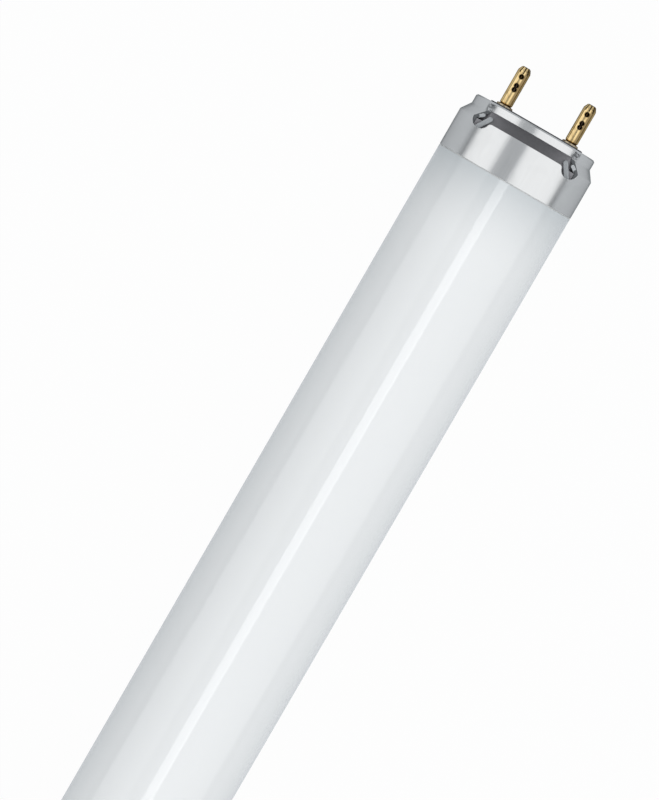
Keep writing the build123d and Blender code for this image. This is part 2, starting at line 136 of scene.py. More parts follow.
def put(tree, kind, inputs=None, **settings):
    """Adds a node with its settings, and gives each input a value or a wire."""
    node = tree.nodes.new(kind)
    for name, value in settings.items():
        setattr(node, name, value)
    for key, value in (inputs or {}).items():
        if isinstance(value, bpy.types.NodeSocket):
            tree.links.new(value, node.inputs[key])
        else:
            node.inputs[key].default_value = value
    return node


def calc(tree, operation, *values, clamp=False):
    """One step of arithmetic, as a node."""
    return put(tree, "ShaderNodeMath", dict(enumerate(values)), operation=operation, use_clamp=clamp).outputs[0]


def remap(tree, value, low, high, new_low, new_high):
    """Stretches a value from one range to another, held within it."""
    inputs = {"Value": value, "From Min": low, "From Max": high, "To Min": new_low, "To Max": new_high}
    return put(tree, "ShaderNodeMapRange", inputs).outputs["Result"]


def mix_color(tree, factor, first, second):
    node = put(tree, "ShaderNodeMix", {0: factor, 6: first, 7: second}, data_type="RGBA")
    return node.outputs[2]


def grey(level):
    return (level, level, level, 1.0)


def object_place(tree):
    return put(tree, "ShaderNodeTexCoord").outputs["Object"]


# Shared effects ---------------------------------------------------------------------------------


def effect(name, inputs, outputs):
    """Empty shader group with float and vector inputs, given as {name: default}, and float outputs."""
    group = bpy.data.node_groups.new(name, "ShaderNodeTree")
    for title, default in inputs.items():
        kind = "NodeSocketVector" if default is None else "NodeSocketFloat"
        socket = group.interface.new_socket(title, in_out="INPUT", socket_type=kind)
        if default is not None:
            socket.default_value = default
    for title in outputs:
        group.interface.new_socket(title, in_out="OUTPUT", socket_type="NodeSocketFloat")
    return group, put(group, "NodeGroupInput").outputs


def grain_effect():
    """Even small-scale mottling, from 0 to 1."""
    group, given = effect("Fine grain", {"Place": None, "Scale": 1000.0, "Contrast": 1.0}, ["Grain"])
    noise = put(group, "ShaderNodeTexNoise", {"Vector": given["Place"], "Scale": given["Scale"], "Detail": 3.0})
    spread = calc(group, "MULTIPLY", calc(group, "SUBTRACT", noise.outputs[0], 0.5), given["Contrast"])
    put(group, "NodeGroupOutput", {"Grain": calc(group, "ADD", spread, 0.5, clamp=True)})
    return group


def drawn_effect():
    """Fine lines that run along the lamp, as drawing through a die leaves them, from 0 to 1."""
    group, given = effect("Drawn lines", {"Place": None, "Scale": 2500.0, "Stretch": 0.02}, ["Lines"])
    squeeze = put(group, "ShaderNodeCombineXYZ", {"X": given["Stretch"], "Y": 1.0, "Z": 1.0})
    inputs = {0: given["Place"], 1: squeeze.outputs[0]}
    place = put(group, "ShaderNodeVectorMath", inputs, operation="MULTIPLY").outputs[0]
    noise = put(group, "ShaderNodeTexNoise", {"Vector": place, "Scale": given["Scale"], "Detail": 2.0})
    put(group, "NodeGroupOutput", {"Lines": noise.outputs[0]})
    return group


def smudge_effect():
    """Soft patches where hands and handling have dulled a gloss, from 0 to 1."""
    group, given = effect("Handling marks", {"Place": None, "Scale": 60.0, "Amount": 0.5}, ["Marks"])
    inputs = {"Vector": given["Place"], "Scale": given["Scale"], "Detail": 4.0, "Distortion": 0.6}
    noise = put(group, "ShaderNodeTexNoise", inputs).outputs[0]
    patches = remap(group, noise, 0.5, 0.75, 0.0, 1.0)
    put(group, "NodeGroupOutput", {"Marks": calc(group, "MULTIPLY", patches, given["Amount"])})
    return group


def edge_effect():
    """Where a sharp edge is, broken up as wear breaks it, from 0 to 1."""
    given_inputs = {"Place": None, "Radius": 0.2 * MM, "Break Up": 2500.0}
    group, given = effect("Worn edges", given_inputs, ["Wear"])
    rounded = put(group, "ShaderNodeBevel", {"Radius": given["Radius"]}, samples=4).outputs[0]
    true_normal = put(group, "ShaderNodeNewGeometry").outputs["Normal"]
    inputs = {0: rounded, 1: true_normal}
    agreement = put(group, "ShaderNodeVectorMath", inputs, operation="DOT_PRODUCT").outputs["Value"]
    edge = remap(group, agreement, 0.98, 0.8, 0.0, 1.0)
    noise = put(group, "ShaderNodeTexNoise", {"Vector": given["Place"], "Scale": given["Break Up"]}).outputs[0]
    worn = calc(group, "MULTIPLY", edge, remap(group, noise, 0.35, 0.6, 0.3, 1.0))
    put(group, "NodeGroupOutput", {"Wear": worn})
    return group


def crease_effect():
    """Painted shade where a surface lies deep between others, found by occlusion and broken up by noise, from 0
    to 1.
    """
    group, given = effect("Shade in creases", {"Place": None, "Reach": 0.3 * MM, "Break Up": 2500.0}, ["Shade"])
    occlusion = put(group, "ShaderNodeAmbientOcclusion", {"Distance": given["Reach"]}, samples=8)
    deep = remap(group, occlusion.outputs["AO"], 0.75, 0.35, 0.0, 1.0)
    noise = put(group, "ShaderNodeTexNoise", {"Vector": given["Place"], "Scale": given["Break Up"]}).outputs[0]
    crease_shade = calc(group, "MULTIPLY", deep, remap(group, noise, 0.3, 0.6, 0.7, 1.0))
    put(group, "NodeGroupOutput", {"Shade": crease_shade})
    return group


GRAIN = grain_effect()
DRAWN = drawn_effect()
SMUDGES = smudge_effect()
EDGES = edge_effect()
# Painted shade in creases, shared by the cap and the pins.
CREASES = crease_effect()


def use(tree, group, place, **inputs):
    """Places a shared effect in a material and returns its one output."""
    node = put(tree, "ShaderNodeGroup", node_tree=group)
    tree.links.new(place, node.inputs["Place"])
    for name, value in inputs.items():
        node.inputs[name.replace("_", " ")].default_value = value
    return node.outputs[0]


# Materials --------------------------------------------------------------------------------------


def surface(name, **constants):
    """New material: its tree, its Principled shader with constant values set, and Object coordinates."""
    material = bpy.data.materials.new(name)
    material.use_nodes = True
    tree = material.node_tree
    shader = tree.nodes["Principled BSDF"]
    for title, value in constants.items():
        shader.inputs[title.replace("_", " ")].default_value = value
    return material, tree, shader, object_place(tree)


def wire_up(tree, shader, **outputs):
    for title, socket in outputs.items():
        tree.links.new(socket, shader.inputs[title.replace("_", " ")])


def relief(tree, height, depth, edge_radius=None):
    """Bump of that depth in metres, over edges that are rounded by edge_radius."""
    inputs = {"Height": height, "Distance": depth, "Strength": 1.0}
    if edge_radius:
        inputs["Normal"] = put(tree, "ShaderNodeBevel", {"Radius": edge_radius}, samples=6).outputs[0]
    return put(tree, "ShaderNodeBump", inputs).outputs[0]


def distance_along(tree, place):
    """How far a point is from the middle of the lamp, towards either end."""
    return calc(tree, "ABSOLUTE", put(tree, "ShaderNodeSeparateXYZ", {0: place}).outputs["X"])


def distance(tree, first, second):
    """Length of the hypotenuse over two sides."""
    squares = (calc(tree, "POWER", side, 2.0) for side in (first, second))
    return calc(tree, "SQRT", calc(tree, "ADD", *squares))


def band(tree, value, low, high, softness):
    """1 where a value lies between two limits, fading to 0 over the softness outside them."""
    above = remap(tree, value, low - softness, low, 0.0, 1.0)
    below = remap(tree, value, high, high + softness, 1.0, 0.0)
    return calc(tree, "MULTIPLY", above, below)


def opal_glass():
    """Clear glass, coated white inside: greyer next to the caps, with a soft cloudiness."""
    material, tree, shader, place = surface("opal_glass", IOR=1.5)
    cloud = use(tree, GRAIN, place, Scale=35.0, Contrast=0.8)
    white = mix_color(tree, cloud, (0.895, 0.902, 0.902, 1.0), (0.92, 0.925, 0.925, 1.0))
    # Glass colour turns greyer towards each cap.
    near_cap = remap(tree, distance_along(tree, place), RIM_X - GREYER_NEAR_CAP, RIM_X, 0.0, 1.0)
    greying = calc(tree, "POWER", near_cap, 2.0)
    coating = mix_color(tree, greying, white, (0.62, 0.65, 0.665, 1.0))
    marks = use(tree, SMUDGES, place, Scale=45.0, Amount=0.5)
    ripple = use(tree, GRAIN, place, Scale=18.0, Contrast=0.6)
    wire_up(
        tree,
        shader,
        Base_Color=coating,
        Roughness=remap(tree, marks, 0.0, 1.0, 0.05, 0.11),
        Normal=relief(tree, ripple, 0.02 * MM),
    )
    return material


def slots_and_marks(tree, place):
    """Masks of the cap: in the pockets, on the sheared faces of its wall, and about the struck marks."""
    axes = put(tree, "ShaderNodeSeparateXYZ", {0: place}).outputs
    along, aside, height = (calc(tree, "ABSOLUTE", axes[axis]) for axis in "XYZ")
    over_rim = calc(tree, "SUBTRACT", along, RIM_X)
    under_ring = band(tree, over_rim, POCKET_BOTTOM, RING_BASE, 0.1 * MM)
    outside = remap(tree, over_rim, SKIRT_HEIGHT, RING_BASE, TUBE_R, RING_R)
    depth = calc(tree, "SUBTRACT", outside, distance(tree, aside, height))
    pocket = remap(tree, depth, 0.05 * MM, 0.2 * MM, 0.0, 1.0)
    normal = put(tree, "ShaderNodeNewGeometry").outputs["Normal"]
    tilt = calc(tree, "ABSOLUTE", put(tree, "ShaderNodeSeparateXYZ", {0: normal}).outputs["Z"])
    level = band(tree, height, BRIDGE_HALF - 0.02 * MM, BRIDGE_HALF + 0.02 * MM, 0.02 * MM)
    sheared = calc(tree, "MULTIPLY", calc(tree, "GREATER_THAN", tilt, 0.95), level)
    off_marks = calc(tree, "ABSOLUTE", calc(tree, "SUBTRACT", aside, height))
    beside = remap(tree, off_marks, *STRUCK_HALF, 1.0, 0.0)
    struck = calc(tree, "MULTIPLY", beside, band(tree, over_rim, *STRUCK_BAND, 0.15 * MM))
    return calc(tree, "MULTIPLY", pocket, under_ring), calc(tree, "MULTIPLY", sheared, under_ring), struck


def cap_aluminium():
    """Drawn aluminium, satin, with fine lines along the lamp, dull pockets, and painted shade in the pockets,
    on the cut faces, about the struck marks and in creases.
    """
    material, tree, shader, place = surface("cap_aluminium", Specular_Tint=grey(0.7))
    lines = use(tree, DRAWN, place, Scale=2600.0, Stretch=0.03)
    grain = use(tree, GRAIN, place, Scale=4500.0, Contrast=1.4)
    marks = use(tree, SMUDGES, place, Scale=160.0, Amount=0.6)
    wear = use(tree, EDGES, place, Radius=0.18 * MM)
    over_rim = calc(tree, "SUBTRACT", distance_along(tree, place), RIM_X)
    # Painted shade in creases, kept off the cap's rim.
    creases = use(tree, CREASES, place, Reach=0.25 * MM)
    crease_shade = calc(tree, "MULTIPLY", creases, remap(tree, over_rim, *UNSHADED_RIM, 0.0, 0.85))
    pocket, sheared, struck = slots_and_marks(tree, place)
    satin = mix_color(tree, lines, (0.62, 0.617, 0.61, 1.0), (0.67, 0.667, 0.66, 1.0))
    dulled = mix_color(tree, marks, satin, (0.585, 0.582, 0.576, 1.0))
    polished = mix_color(tree, calc(tree, "MULTIPLY", wear, 0.6), dulled, (0.8, 0.81, 0.82, 1.0))
    # Darker in the pockets: duller raw metal, and painted shade as well.
    in_pocket = mix_color(tree, pocket, polished, (0.42, 0.435, 0.445, 1.0))
    patches = use(tree, GRAIN, place, Scale=1400.0, Contrast=3.0)
    # Patchy near-black painted shade about the struck marks.
    struck_shade = calc(tree, "MULTIPLY", struck, remap(tree, patches, 0.2, 1.0, 0.0, 0.95))
    painted_shade = mix_color(tree, struck_shade, in_pocket, (0.1, 0.105, 0.11, 1.0))
    # Painted shade on the cut faces of the wall beside the slots.
    cut_shade = mix_color(tree, sheared, painted_shade, (0.12, 0.125, 0.13, 1.0))
    # Grey-black colour of the painted crease shade.
    base = mix_color(tree, crease_shade, cut_shade, (0.16, 0.16, 0.165, 1.0))
    smooth = calc(tree, "ADD", remap(tree, lines, 0.3, 0.7, 0.17, 0.23), calc(tree, "MULTIPLY", marks, 0.07))
    raw = calc(tree, "MAXIMUM", pocket, sheared)
    rough = calc(tree, "MAXIMUM", smooth, calc(tree, "MULTIPLY", raw, 0.45))
    height = calc(tree, "ADD", lines, calc(tree, "MULTIPLY", grain, 0.5))
    wire_up(
        tree,
        shader,
        Base_Color=base,
        Metallic=calc(tree, "SUBTRACT", 1.0, calc(tree, "MULTIPLY", raw, 0.4)),
        Roughness=rough,
        Normal=relief(tree, height, 0.004 * MM, edge_radius=0.15 * MM),
    )
    return material


def insulator_plastic():
    """Moulded dark plastic with a fine eroded grain, paler on its edges, and a black line of painted shade on
    its plate's side.
    """
    material, tree, shader, place = surface("insulator_plastic", IOR=1.52)
    grain = use(tree, GRAIN, place, Scale=3500.0, Contrast=1.6)
    wear = use(tree, EDGES, place, Radius=0.15 * MM)
    dark = mix_color(tree, grain, (0.24, 0.236, 0.252, 1.0), (0.3, 0.295, 0.31, 1.0))
    worn = mix_color(tree, calc(tree, "MULTIPLY", wear, 0.4), dark, (0.42, 0.42, 0.43, 1.0))
    over_rim = calc(tree, "SUBTRACT", distance_along(tree, place), RIM_X)
    # A black line of painted shade along the side of the plate.
    base = mix_color(tree, band(tree, over_rim, *PLATE_SIDE, 0.02 * MM), worn, (0.04, 0.04, 0.045, 1.0))
    wire_up(
        tree,
        shader,
        Base_Color=base,
        Roughness=remap(tree, grain, 0.2, 0.8, 0.45, 0.6),
        Normal=relief(tree, grain, 0.01 * MM, edge_radius=0.12 * MM),
    )
    return material


def around_pin(tree, place):
    """A point's height over the face that the pins stand on, its way off its pin's axis along Y, and its Z."""
    axes = put(tree, "ShaderNodeSeparateXYZ", {0: place}).outputs
    height = calc(tree, "SUBTRACT", calc(tree, "ABSOLUTE", axes["X"]), RIM_X + PIN_FACE)
    pin_y = calc(tree, "MULTIPLY", calc(tree, "SIGN", axes["Y"]), PIN_Y)
    return height, calc(tree, "SUBTRACT", axes["Y"], pin_y), axes["Z"]


def sunk_in_pin(tree, height, aside, up):
    """1 in a pin's crimps, flutes and bore and in the groove over its foot, which lie under its outside."""
    outside = remap(tree, height, PIN_TAPER, PIN_LENGTH, PIN_R, PIN_TIP_R)
    depth = calc(tree, "SUBTRACT", outside, distance(tree, aside, up))
    return remap(tree, depth, 0.04 * MM, 0.14 * MM, 0.0, 1.0)


def shade_about_crimps(tree, height, aside, up):
    """1 on a ring of painted shade around each crimp, on the pin's upper side."""
    nearest = None
    for place in CRIMPS:
        off = calc(tree, "ABSOLUTE", calc(tree, "SUBTRACT", height, place))
        nearest = off if nearest is None else calc(tree, "MINIMUM", nearest, off)
    ring = remap(tree, distance(tree, nearest, aside), *CRIMP_SHADE, 0.85, 0.0)
    return calc(tree, "MULTIPLY", ring, calc(tree, "GREATER_THAN", up, 0.0))


def pin_gold():
    """Gold-coloured plated brass with drawn lines, brown at its foot, with painted shade along one side, in its
    sunk parts and creases, and about its crimps.
    """
    material, tree, shader, place = surface("pin_gold", Metallic=1.0, Specular_Tint=(0.3, 0.2, 0.08, 1.0))
    lines = use(tree, DRAWN, place, Scale=6000.0, Stretch=0.05)
    tarnish = use(tree, SMUDGES, place, Scale=900.0, Amount=0.6)
    wear = use(tree, EDGES, place, Radius=0.05 * MM, Break_Up=6000.0)
    crease_shade = use(tree, CREASES, place, Reach=0.35 * MM, Break_Up=5000.0)
    height, aside, up = around_pin(tree, place)
    plated = mix_color(tree, lines, (0.68, 0.49, 0.22, 1.0), (0.84, 0.64, 0.34, 1.0))
    stained = mix_color(tree, tarnish, plated, (0.3, 0.18, 0.06, 1.0))
    # Painted shade in a band along one side of each pin.
    side = band(tree, aside, *(share * PIN_R for share in SHADED_SIDE))
    side_shaded = mix_color(tree, calc(tree, "MULTIPLY", side, 0.85), stained, (0.17, 0.115, 0.05, 1.0))
    foot = remap(tree, height, *FOOT_FLANGE, 0.75, 0.0)
    footed = mix_color(tree, foot, side_shaded, (0.3, 0.27, 0.22, 1.0))
    polished = mix_color(tree, calc(tree, "MULTIPLY", wear, 0.3), footed, (0.9, 0.74, 0.46, 1.0))
    # Painted shade about the crimps and in the creases.
    painted_shade = calc(tree, "MAXIMUM", shade_about_crimps(tree, height, aside, up), crease_shade)
    # Near-black painted shade in the crimps, flutes, bore and foot groove, about the crimps and in creases.
    pin_shade = calc(tree, "MAXIMUM", sunk_in_pin(tree, height, aside, up), painted_shade)
    wire_up(
        tree,
        shader,
        Base_Color=mix_color(tree, pin_shade, polished, (0.06, 0.035, 0.012, 1.0)),
        Roughness=remap(tree, lines, 0.3, 0.7, 0.1, 0.18),
        Normal=relief(tree, lines, 0.003 * MM, edge_radius=0.04 * MM),
    )
    return material


def lead_wire():
    """Red insulation, and past its end the bare core, dark brown inside the pin from oxide and painted shade.
    """
    material, tree, shader, place = surface("lead_wire", IOR=1.5)
    grain = use(tree, GRAIN, place, Scale=2500.0, Contrast=1.4)
    past_end = calc(tree, "SUBTRACT", distance_along(tree, place), RIM_X + INSULATION_END)
    bare = remap(tree, past_end, 0.0, 0.02 * MM, 0.0, 1.0)
    red = mix_color(tree, grain, (0.42, 0.03, 0.02, 1.0), (0.55, 0.05, 0.04, 1.0))
    # The core's near-black brown is partly oxide and partly painted shade inside the pin.
    core = mix_color(tree, grain, (0.05, 0.034, 0.022, 1.0), (0.13, 0.09, 0.06, 1.0))
    wire_up(
        tree,
        shader,
        Base_Color=mix_color(tree, bare, red, core),
        Metallic=bare,
        Roughness=remap(tree, grain, 0.2, 0.8, 0.38, 0.5),
        Normal=relief(tree, grain, 0.008 * MM),
    )
    return material


def plain_finish(name, dark, light, roughness, scale=1500.0, depth=0.01, **constants):
    """Finish of a hidden piece: two near shades in a grain, with a little relief."""
    material, tree, shader, place = surface(name, **constants)
    grain = use(tree, GRAIN, place, Scale=scale, Contrast=1.5)
    low, high = roughness
    wire_up(
        tree,
        shader,
        Base_Color=mix_color(tree, grain, (*dark, 1.0), (*light, 1.0)),
        Roughness=remap(tree, grain, 0.2, 0.8, low, high),
        Normal=relief(tree, grain, depth * MM),
    )
    return material


HIDDEN_FINISHES = {
    # material: (darker shade, lighter shade, (smoothest, roughest), constants)
    "cement": ((0.7, 0.7, 0.685), (0.8, 0.8, 0.78), (0.6, 0.8), {}),
    "board_white": ((0.8, 0.82, 0.81), (0.86, 0.87, 0.86), (0.25, 0.35), {}),
    "board_green": ((0.03, 0.17, 0.08), (0.05, 0.24, 0.11), (0.25, 0.4), {}),
    "led_body": ((0.82, 0.81, 0.77), (0.88, 0.87, 0.84), (0.3, 0.45), {}),
    "phosphor": ((0.78, 0.6, 0.1), (0.86, 0.7, 0.18), (0.4, 0.55), {}),
    "glue": ((0.7, 0.71, 0.72), (0.8, 0.81, 0.82), (0.25, 0.4), {}),
    "sleeve_film": ((0.74, 0.75, 0.76), (0.82, 0.83, 0.84), (0.3, 0.4), {}),
    "tinned_copper": ((0.62, 0.62, 0.63), (0.78, 0.78, 0.79), (0.2, 0.35), {"Metallic": 1.0}),
    "resistor_body": ((0.16, 0.3, 0.42), (0.2, 0.36, 0.5), (0.4, 0.55), {}),
    "varistor_body": ((0.03, 0.1, 0.36), (0.05, 0.14, 0.45), (0.2, 0.35), {}),
    "chip_black": ((0.012, 0.012, 0.014), (0.03, 0.03, 0.033), (0.45, 0.6), {}),
    "film_box": ((0.6, 0.46, 0.04), (0.7, 0.55, 0.07), (0.25, 0.35), {}),
    "ferrite": ((0.04, 0.04, 0.045), (0.09, 0.09, 0.095), (0.45, 0.65), {}),
    "can_sleeve": ((0.05, 0.06, 0.1), (0.09, 0.1, 0.15), (0.2, 0.35), {}),
    "winding_enamel": ((0.5, 0.18, 0.06), (0.68, 0.28, 0.1), (0.15, 0.3), {"Metallic": 0.8}),
}


def paint(node, material):
    frame["nodes"][node].data.materials.clear()
    frame["nodes"][node].data.materials.append(material)


def dress():
    """Gives each CAD node the finish that the record's slot names."""
    finishes = {name: plain_finish(name, *shades[:3], **shades[3]) for name, shades in HIDDEN_FINISHES.items()}
    finishes["opal_glass"] = opal_glass()
    finishes["cap_aluminium"] = cap_aluminium()
    finishes["insulator_plastic"] = insulator_plastic()
    finishes["pin_brass"] = pin_gold()
    finishes["wire_red"] = lead_wire()
    finishes["led_phosphor"] = finishes["led_body"]
    finishes["winding"] = finishes["winding_enamel"]
    for part in frame["record"]["subparts"]:
        paint(part["node"], finishes[part["material_slot"]])
    return finishes


# Pieces that repeat, made with Geometry Nodes --------------------------------------------------------


def geometry_tree(name, inputs):
    """Empty tree for a Geometry Nodes modifier, with inputs given as {name: (socket type, value)}."""
    tree = bpy.data.node_groups.new(name, "GeometryNodeTree")
    tree.interface.new_socket("Geometry", in_out="INPUT", socket_type="NodeSocketGeometry")
    for title, (kind, value) in inputs.items():
        tree.interface.new_socket(title, in_out="INPUT", socket_type=kind).default_value = value
    tree.interface.new_socket("Geometry", in_out="OUTPUT", socket_type="NodeSocketGeometry")
    return tree, put(tree, "NodeGroupInput").outputs


def close_tree(tree, geometry, material):
    """Ends a tree in real faces that carry the material."""
    real = put(tree, "GeometryNodeRealizeInstances", {0: geometry}).outputs[0]
    painted = put(tree, "GeometryNodeSetMaterial", {"Geometry": real, "Material": material}).outputs[0]
    put(tree, "NodeGroupOutput", {"Geometry": painted})


def grown(name, tree, points, values, replaced=()):
    """Runs a tree on a mesh of points and keeps the result as a plain piece that rides on the lamp."""
    mesh = bpy.data.meshes.new(name + "_points")
    mesh.from_pydata(points, [], [])
    seed = bpy.data.objects.new(name + "_points", mesh)
    bpy.context.scene.collection.objects.link(seed)
    modifier = seed.modifiers.new(name, "NODES")
    modifier.node_group = tree
    sockets = {item.name: item.identifier for item in tree.interface.items_tree if item.in_out == "INPUT"}
    for title, value in values.items():
        modifier[sockets[title]] = value
    shown = seed.evaluated_get(bpy.context.evaluated_depsgraph_get())
    made = bpy.data.meshes.new_from_object(shown)
    made.name = name
    bpy.data.objects.remove(seed)
    piece = bpy.data.objects.new(name, made)
    bpy.context.scene.collection.objects.link(piece)
    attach(piece, "root")
    if replaced:
        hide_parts(*replaced)
    return piece


def joint_bead(material):
    """Thin bead of cement that fills the groove between each cap's rim and the glass."""
    inputs = {
        "Ring radius": ("NodeSocketFloat", 0.0),
        "Bead radius": ("NodeSocketFloat", 0.0),
    }
    tree, given = geometry_tree("Cement bead", inputs)
    ring = put(tree, "GeometryNodeCurvePrimitiveCircle", {"Resolution": 128, "Radius": given["Ring radius"]})
    section = put(tree, "GeometryNodeCurvePrimitiveCircle", {"Resolution": 8, "Radius": given["Bead radius"]})
    tube_inputs = {"Curve": ring.outputs["Curve"], "Profile Curve": section.outputs["Curve"]}
    tube = put(tree, "GeometryNodeCurveToMesh", tube_inputs).outputs[0]
    across = put(tree, "FunctionNodeInputVector", vector=(0.0, math.pi / 2, 0.0)).outputs[0]
    upright = put(tree, "GeometryNodeTransform", {"Geometry": tube, "Rotation": across}).outputs[0]
    beads = put(tree, "GeometryNodeInstanceOnPoints", {"Points": given["Geometry"], "Instance": upright})
    close_tree(tree, beads.outputs[0], material)
    places = [(side * BEAD_X, 0, 0) for side in (-1, 1)]
    values = {"Ring radius": BEAD_RING_R, "Bead radius": BEAD_R}
    grown("joint_bead", tree, places, values)


def led_windows(material):
    """Pillow of phosphor in each LED's recess."""
    inputs = {"Window size": ("NodeSocketVector", (0.0, 0.0, 0.0)), "Rounding": ("NodeSocketInt", 0)}
    tree, given = geometry_tree("LED windows", inputs)
    cube_inputs = {"Size": given["Window size"], "Vertices X": 4, "Vertices Y": 4}
    block = put(tree, "GeometryNodeMeshCube", cube_inputs).outputs["Mesh"]
    pillow = put(tree, "GeometryNodeSubdivisionSurface", {"Mesh": block, "Level": given["Rounding"]}).outputs[0]
    windows = put(tree, "GeometryNodeInstanceOnPoints", {"Points": given["Geometry"], "Instance": pillow})
    close_tree(tree, windows.outputs[0], material)
    low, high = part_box("leds")
    count = round((high.x - low.x - LED_LENGTH) / LED_PITCH) + 1
    level = high.z - LED_RECESS + WINDOW_LEVEL * WINDOW_SIZE[2]
    places = [(low.x + LED_LENGTH / 2 + step * LED_PITCH, 0, level) for step in range(count)]
    grown("led_windows", tree, places, {"Window size": WINDOW_SIZE, "Rounding": 1})


def choke_turns(material):
    """The choke's winding as turns of enamelled wire, one beside the other."""
    inputs = {
        "Turns": ("NodeSocketFloat", 0.0),
        "Coil radius": ("NodeSocketFloat", 0.0),
        "Coil height": ("NodeSocketFloat", 0.0),
        "Wire radius": ("NodeSocketFloat", 0.0),
    }
    tree, given = geometry_tree("Choke turns", inputs)
    spiral_inputs = {
        "Resolution": 32,
        "Rotations": given["Turns"],
        "Start Radius": given["Coil radius"],
        "End Radius": given["Coil radius"],
        "Height": given["Coil height"],
    }
    spiral = put(tree, "GeometryNodeCurveSpiral", spiral_inputs).outputs[0]
    section = put(tree, "GeometryNodeCurvePrimitiveCircle", {"Resolution": 10, "Radius": given["Wire radius"]})
    wire_inputs = {"Curve": spiral, "Profile Curve": section.outputs["Curve"], "Fill Caps": True}
    wire = put(tree, "GeometryNodeCurveToMesh", wire_inputs).outputs[0]
    coil = put(tree, "GeometryNodeInstanceOnPoints", {"Points": given["Geometry"], "Instance": wire})
    close_tree(tree, coil.outputs[0], material)
    low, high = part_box("choke_winding")
    room = high.z - low.z - TURN_DIAMETER
    values = {
        "Turns": room / TURN_DIAMETER,
        "Coil radius": (high.x - low.x - TURN_DIAMETER) / 2,
        "Coil height": room,
        "Wire radius": TURN_DIAMETER / 2,
    }
    start = ((low.x + high.x) / 2, (low.y + high.y) / 2, low.z + TURN_DIAMETER / 2)
    grown("choke_turns", tree, [start], values, replaced=["choke_winding"])


def solder_tree(material):
    """Concave cones of solder that spread from a leg down to its pad."""
    inputs = {
        "Leg radius": ("NodeSocketFloat", 0.0),
        "Pad radius": ("NodeSocketFloat", 0.0),
        "Climb": ("NodeSocketFloat", 0.0),
    }
    tree, given = geometry_tree("Solder joints", inputs)
    barrel_inputs = {
        "Vertices": 20,
        "Side Segments": 6,
        "Fill Segments": 1,
        "Radius Top": 1.0,
        "Radius Bottom": 1.0,
        "Depth": given["Climb"],
    }
    barrel = put(tree, "GeometryNodeMeshCone", barrel_inputs).outputs["Mesh"]
    at = put(tree, "ShaderNodeSeparateXYZ", {0: put(tree, "GeometryNodeInputPosition").outputs[0]}).outputs
    left_over = calc(tree, "SUBTRACT", 1.0, calc(tree, "DIVIDE", at["Z"], given["Climb"]))
    spread = calc(tree, "SUBTRACT", given["Pad radius"], given["Leg radius"])
    flare = calc(tree, "MULTIPLY", spread, calc(tree, "POWER", left_over, SOLDER_HOLLOW))
    radius = calc(tree, "ADD", given["Leg radius"], flare)
    x, y = (calc(tree, "MULTIPLY", at[axis], radius) for axis in "XY")
    shaped = put(tree, "ShaderNodeCombineXYZ", {"X": x, "Y": y, "Z": at["Z"]}).outputs[0]
    cone = put(tree, "GeometryNodeSetPosition", {"Geometry": barrel, "Position": shaped}).outputs[0]
    joints = put(tree, "GeometryNodeInstanceOnPoints", {"Points": given["Geometry"], "Instance": cone})
    close_tree(tree, joints.outputs[0], material)
    return tree


def solder_joints(material):
    """Solder at the feet of the driver's round legs, and at the ends of the lead wires."""
    tree = solder_tree(material)
    feet = []
    low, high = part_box("fusible_resistor")
    feet += [(x, (low.y + high.y) / 2, low.z) for x in (low.x + LEG_R, high.x - LEG_R)]
    low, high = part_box("varistor")
    middle = (low.y + high.y) / 2
    feet += [((low.x + high.x) / 2, middle + side * VARISTOR_LEGS / 2, low.z) for side in (-1, 1)]
    low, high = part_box("filter_capacitor")
    feet += [(low.x + LEG_R, side * CAN_LEGS / 2, low.z) for side in (-1, 1)]
    grown("leg_solder", tree, feet, LEG_SOLDER)
    ends = []
    for end, inner, outward in (("right", 0, 1), ("left", 1, -1)):
        for row in ("front", "back"):
            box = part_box(f"lead_wire_{end}_{row}")
            x = box[inner].x + outward * WIRE_R
            y = min((corner.y for corner in box), key=abs)
            ends.append((x, y + math.copysign(WIRE_R, y), box[0].z))
    grown("wire_solder", tree, ends, WIRE_SOLDER)


# Studio -----------------------------------------------------------------------------------------


def studio_white(tree, in_camera, in_gloss):
    """The studio's white, and how much of it is shown to the camera's rays and to those of gloss and glass."""
    path = put(tree, "ShaderNodeLightPath").outputs
    bounced = calc(tree, "MAXIMUM", path["Is Glossy Ray"], path["Is Transmission Ray"])
    seen = calc(tree, "MULTIPLY", path["Is Camera Ray"], in_camera)
    share = calc(tree, "MAXIMUM", seen, calc(tree, "MULTIPLY", bounced, in_gloss))
    return mix_color(tree, path["Is Camera Ray"], WHITE_IN_GLOSS, grey(1.0)), share


def floor_finish():
    """Pale and matt, lifted to white for the camera, and dark in gloss under each cap."""
    material = bpy.data.materials.new("studio_floor")
    material.use_nodes = True
    tree = material.node_tree
    tree.nodes.clear()
    matt = put(tree, "ShaderNodeBsdfDiffuse", {"Color": FLOOR_COLOR})
    at = put(tree, "ShaderNodeSeparateXYZ", {0: object_place(tree)}).outputs
    beside = remap(tree, calc(tree, "ABSOLUTE", at["Y"]), *CAP_SHADE, 1.0, 0.0)
    at_cap = remap(tree, calc(tree, "ABSOLUTE", at["X"]), RIM_X - CAP_SHADE_EDGE, RIM_X, 0.0, 1.0)
    in_gloss = remap(tree, calc(tree, "MULTIPLY", beside, at_cap), 0.0, 1.0, FLOOR_IN_GLOSS, 0.0)
    color, share = studio_white(tree, FLOOR_WHITE, in_gloss)
    white = put(tree, "ShaderNodeEmission", {"Color": color, "Strength": 1.0})
    shown = put(tree, "ShaderNodeMixShader", {0: share, 1: matt.outputs[0], 2: white.outputs[0]})
    put(tree, "ShaderNodeOutputMaterial", {"Surface": shown.outputs[0]})
    return material


